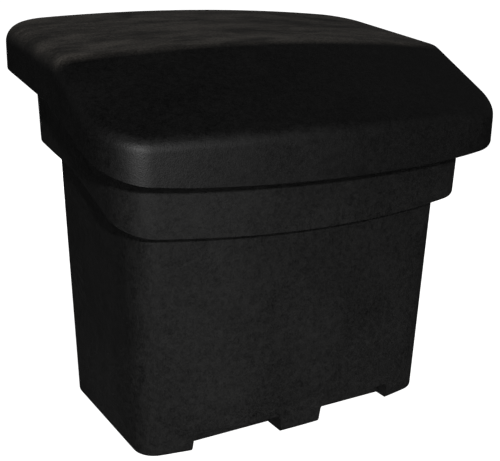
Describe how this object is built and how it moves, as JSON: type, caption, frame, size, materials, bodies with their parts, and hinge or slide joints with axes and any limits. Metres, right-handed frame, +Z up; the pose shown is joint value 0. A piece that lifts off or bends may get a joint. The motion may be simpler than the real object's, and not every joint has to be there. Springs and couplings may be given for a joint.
{
  "type": "grit bin",
  "caption": "Free-standing plastic bin for grit or salt: tapered tub on moulded feet, wide collar and a deep sloping lid that lifts on two rear hinges.",
  "frame": {"origin": "centre of the base on the ground", "axes": "+Z up, -Y to the front where the lid opens, +X to the right seen from the front"},
  "size_m": [0.7636, 0.5599, 0.7019],
  "materials": {
    "tub_plastic": "moulded satin, fine grain",
    "lid_plastic": "moulded satin, fine grain",
    "hinge_steel": "brushed stainless",
    "plate_steel": "mill stainless",
    "fastener_steel": "plain stainless"
  },
  "bodies": {
    "bin": {"tub": "tub_plastic", "hinge_left_tub_leaf": "hinge_steel", "hinge_left_pin": "hinge_steel", "hinge_right_tub_leaf": "hinge_steel", "hinge_right_pin": "hinge_steel", "hinge_left_tub_plate": "plate_steel", "hinge_right_tub_plate": "plate_steel", "tub_hinge_bolts": "fastener_steel", "tub_hinge_nuts": "fastener_steel"},
    "lid": {"lid": "lid_plastic", "hinge_left_lid_leaf": "hinge_steel", "hinge_right_lid_leaf": "hinge_steel", "hinge_left_lid_plate": "plate_steel", "hinge_right_lid_plate": "plate_steel", "lid_hinge_bolts": "fastener_steel", "lid_hinge_nuts": "fastener_steel"}
  },
  "joints": [
    {"name": "lid_hinge", "type": "hinge", "parent": "bin", "child": "lid", "pos_m": [0, 0.26351, 0.6143], "axis": [-1, 0, 0], "range_deg": [0, 105]}
  ]
}
